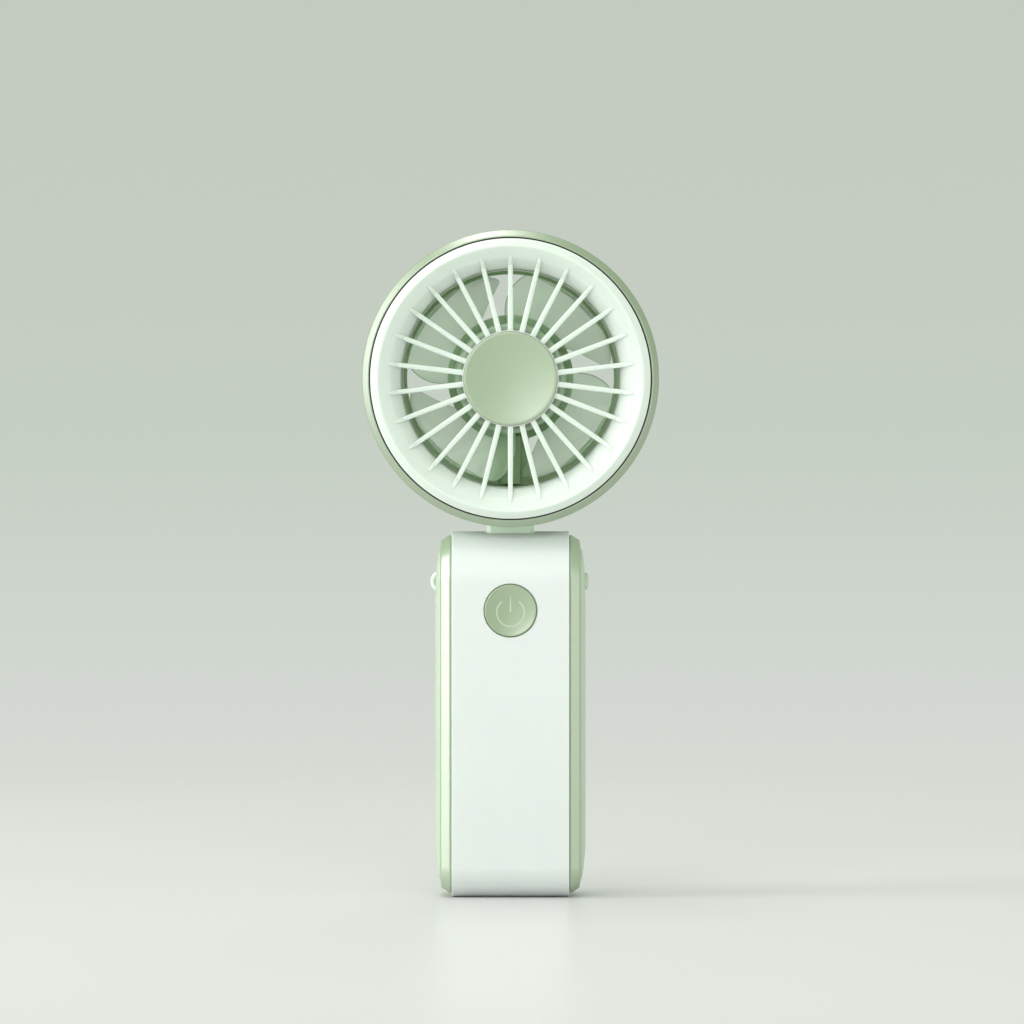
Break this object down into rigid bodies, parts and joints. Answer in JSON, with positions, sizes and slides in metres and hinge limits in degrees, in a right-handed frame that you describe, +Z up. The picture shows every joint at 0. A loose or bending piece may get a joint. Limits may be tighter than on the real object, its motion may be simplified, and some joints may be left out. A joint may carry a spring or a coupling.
{
  "type": "handheld electric fan",
  "caption": "Pocket electric fan: round caged head on a folding neck, slim upright handle with a power button, standing on its flat end.",
  "frame": {"origin": "middle of the handle's flat base, which the fan stands on", "axes": "+Z up along the handle, -Y the way the air blows, +X to the right as seen from the front"},
  "size_m": [0.0768, 0.0282, 0.1729],
  "materials": {
    "handle_sleeve": "smooth pale mint with a fine satin sheen",
    "edge_trim": "satin metallic mint",
    "side_panel": "satin mint",
    "loop_white": "satin white",
    "button_mint": "satin mint, dished",
    "cap_mint": "satin mint, dished",
    "head_shell": "satin mint",
    "grille_white": "smooth near-white mint",
    "deep_green": "satin olive green",
    "neck_mint": "smooth pale mint",
    "blade": "translucent smoky mint",
    "gasket_black": "matte black",
    "inner_plastic": "unpainted green moulding",
    "switch_black": "black moulding",
    "steel": "bright zinc-plated",
    "magnet": "dark ferrite",
    "stator_core": "lacquered laminations with copper windings",
    "motor_brass": "turned brass",
    "circuit_board": "green solder mask",
    "cell_sleeve": "shrink-sleeved can",
    "wire_red": "red insulation",
    "wire_black": "black insulation"
  },
  "bodies": {
    "handle": {"handle_band": "handle_sleeve", "side_frame_right": "edge_trim", "side_frame_left": "edge_trim", "side_panel_right": "side_panel", "side_panel_left": "side_panel", "lanyard_loop": "loop_white", "hinge_cap": "side_panel", "chassis": "inner_plastic", "battery_cell": "cell_sleeve", "control_board": "circuit_board", "tact_switch": "switch_black", "charging_board": "circuit_board", "charging_port": "steel", "battery_lead_red": "wire_red", "battery_lead_black": "wire_black", "pivot_pin": "steel", "hinge_washer_right": "steel", "hinge_washer_left": "steel", "side_screw_right_low": "steel", "side_screw_right_high": "steel", "side_screw_left_low": "steel", "side_screw_left_high": "steel"},
    "head": {"neck_arm": "neck_mint", "motor_bracket": "deep_green", "wire_cover": "deep_green", "motor_lead_red": "wire_red", "motor_lead_black": "wire_black", "rear_shell": "head_shell", "front_grille": "grille_white", "centre_cap": "cap_mint", "bezel_gasket": "gasket_black", "rear_grille": "deep_green", "motor_base": "motor_brass", "motor_stator": "stator_core", "bearing_front": "steel", "bearing_rear": "steel", "shell_screw_1": "steel", "shell_screw_2": "steel", "shell_screw_3": "steel", "motor_screw_1": "steel", "motor_screw_2": "steel", "motor_screw_3": "steel"},
    "impeller": {"impeller": "blade", "rotor_can": "steel", "rotor_magnet": "magnet", "motor_shaft": "steel"},
    "button": {"power_button": "button_mint", "switch_plunger": "switch_black"}
  },
  "joints": [
    {"name": "head_fold", "type": "hinge", "parent": "handle", "child": "head", "pos_m": [0, 0, 0.0817], "axis": [-1, 0, 0], "range_deg": [0, 90]},
    {"name": "impeller_spin", "type": "hinge", "parent": "head", "child": "impeller", "pos_m": [0, 0, 0.1345], "axis": [0, 1, 0], "continuous": true},
    {"name": "power_button_press", "type": "slide", "parent": "handle", "child": "button", "axis": [0, 1, 0], "range_m": [0, 0.0004], "stiffness_N_per_m": 3000}
  ]
}
